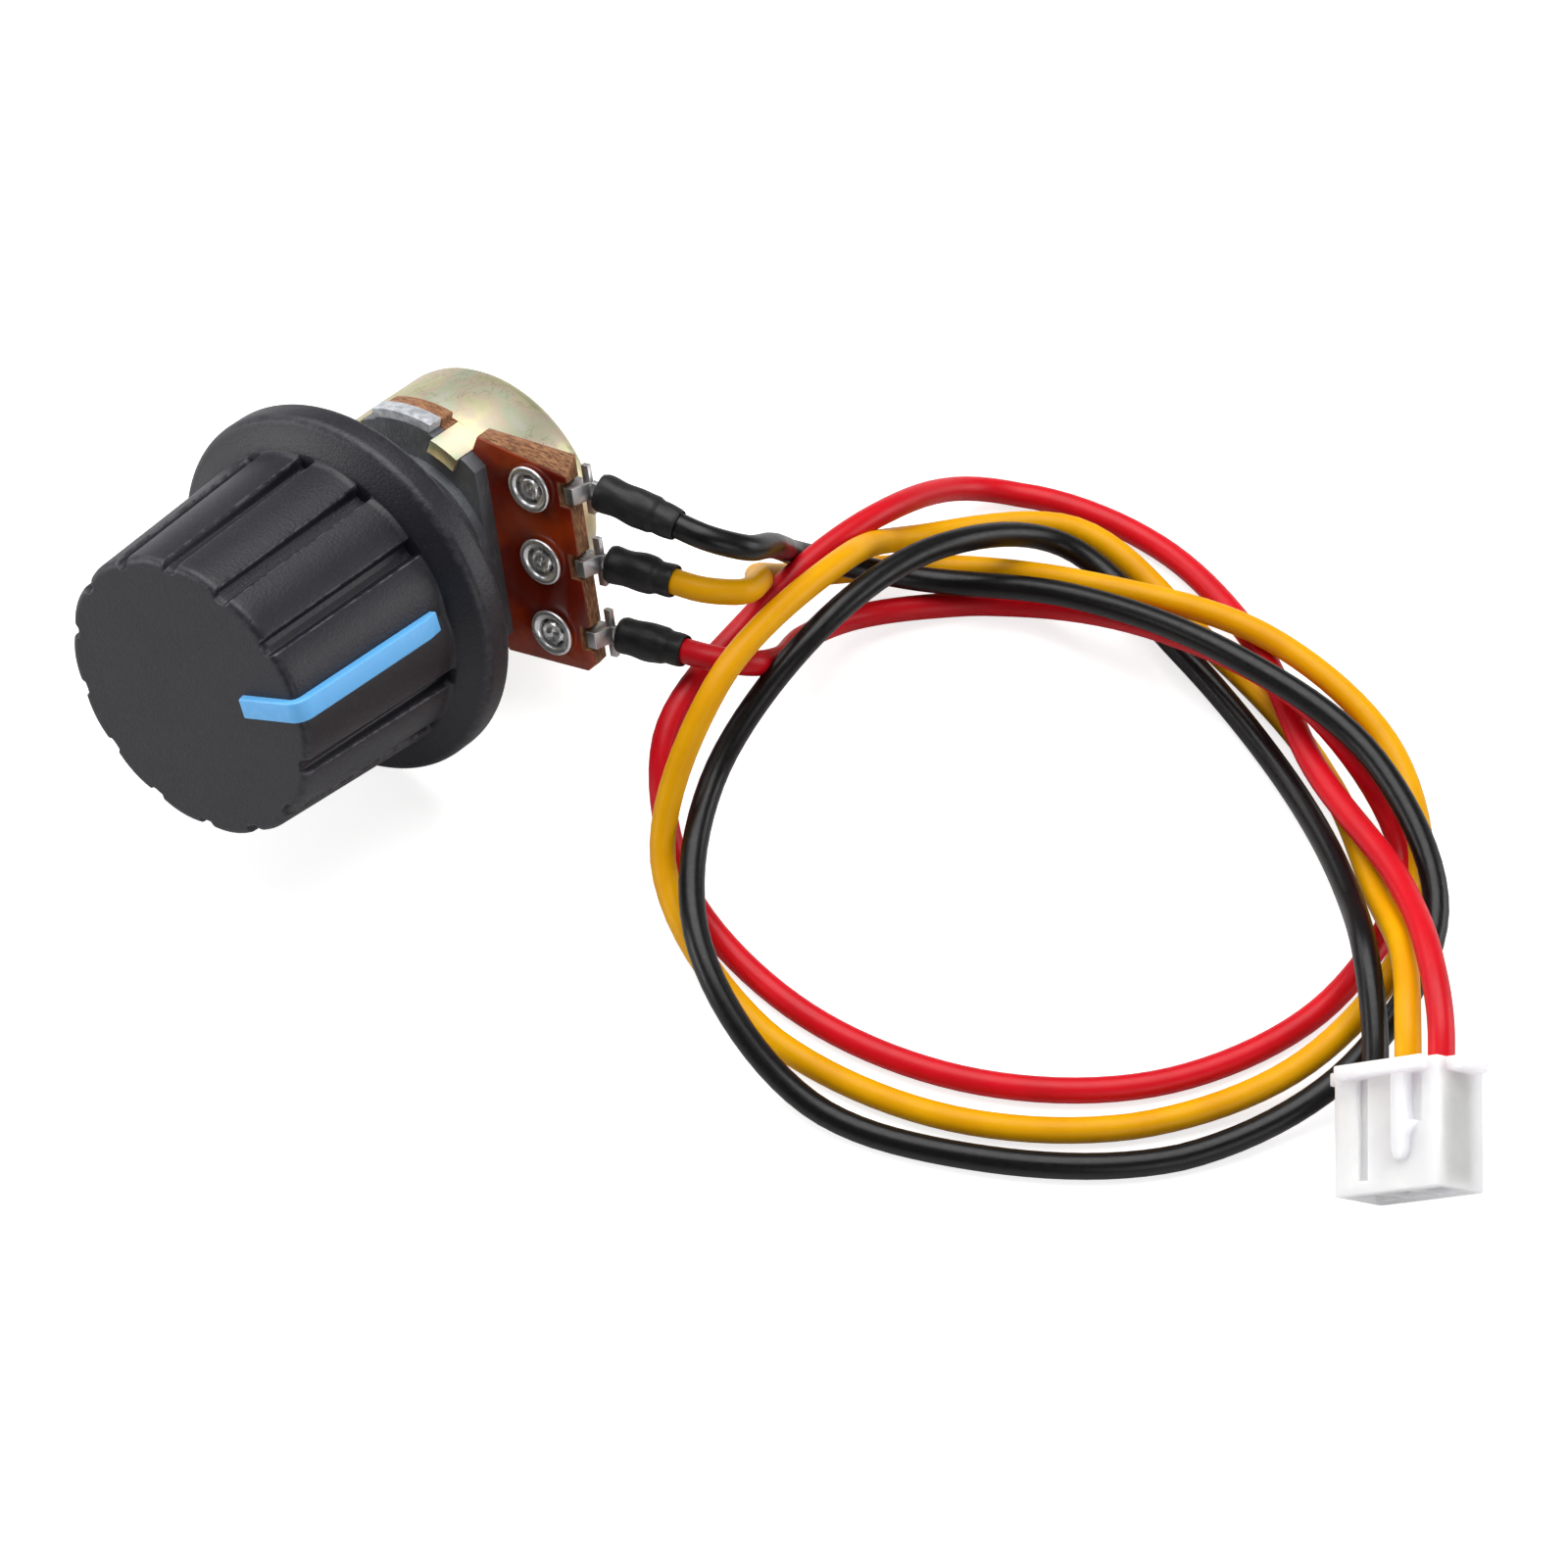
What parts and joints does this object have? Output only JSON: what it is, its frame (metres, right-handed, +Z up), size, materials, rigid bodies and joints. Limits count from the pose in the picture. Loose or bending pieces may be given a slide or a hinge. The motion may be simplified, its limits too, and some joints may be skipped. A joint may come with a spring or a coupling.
{
  "type": "rotary speed dial",
  "caption": "Panel dial for a small motor speed controller: a sealed rotary potentiometer with a fluted push-on knob, soldered leads in shrink sleeves and a wire-to-board plug.",
  "frame": {"origin": "on the table under the middle of the dial, leads and plug left out", "axes": "+Z up; the table is z = 0; the shaft points along -Y and a little up, with the knob at -Y; the soldered terminals and the leads lie towards +X"},
  "size_m": [0.089, 0.0573, 0.0246],
  "materials": {
    "knob_plastic": "satin moulded plastic",
    "pointer_plastic": "semi-gloss moulded plastic",
    "shaft_metal": "machined",
    "clip_steel": "spring steel",
    "rotor_plastic": "moulded",
    "wiper_brass": "stamped spring sheet",
    "plate_zinc": "dark die-cast zinc alloy, close to cast iron in density",
    "nut_steel": "yellow zinc plated",
    "washer_steel": "bright zinc plated",
    "board_phenolic": "phenolic paper laminate with rough cut edges",
    "carbon_ink": "printed carbon",
    "silver_ink": "printed silver",
    "terminal_tin": "tinned brass",
    "eyelet_tin": "tinned brass",
    "can_steel": "pale yellow zinc plated, scratched",
    "solder": "soft solder over stranded copper",
    "sleeve_shrink": "heat-shrink tube",
    "pvc_black": "soft cable plastic",
    "pvc_yellow": "soft cable plastic",
    "pvc_red": "soft cable plastic",
    "plug_nylon": "translucent white nylon",
    "contact_tin": "tinned phosphor bronze"
  },
  "bodies": {
    "case": {"bushing_plate": "plate_zinc", "mounting_nut": "nut_steel", "flat_washer": "washer_steel", "resistor_board": "board_phenolic", "carbon_track": "carbon_ink", "collector_ring": "silver_ink", "terminal_black": "terminal_tin", "terminal_yellow": "terminal_tin", "terminal_red": "terminal_tin", "eyelets": "eyelet_tin", "rear_can": "can_steel", "solder_joints": "solder", "sleeve_black": "sleeve_shrink", "sleeve_yellow": "sleeve_shrink", "sleeve_red": "sleeve_shrink", "lead_black": "pvc_black", "lead_yellow": "pvc_yellow", "lead_red": "pvc_red", "plug_housing": "plug_nylon", "contact_black": "contact_tin", "contact_yellow": "contact_tin", "contact_red": "contact_tin"},
    "spindle": {"shaft": "shaft_metal", "retaining_clip": "clip_steel", "rotor": "rotor_plastic", "wiper": "wiper_brass"},
    "knob": {"knob_body": "knob_plastic", "knob_pointer": "pointer_plastic"}
  },
  "joints": [
    {"name": "shaft_turn", "type": "hinge", "parent": "case", "child": "spindle", "pos_m": [-0.00336, 0.00584, 0.01013], "axis": [0, -0.9625, 0.2714], "range_deg": [-150, 150]},
    {"name": "knob_pull", "type": "slide", "parent": "spindle", "child": "knob", "axis": [0, -0.9625, 0.2714], "range_m": [0, 0.02]}
  ]
}
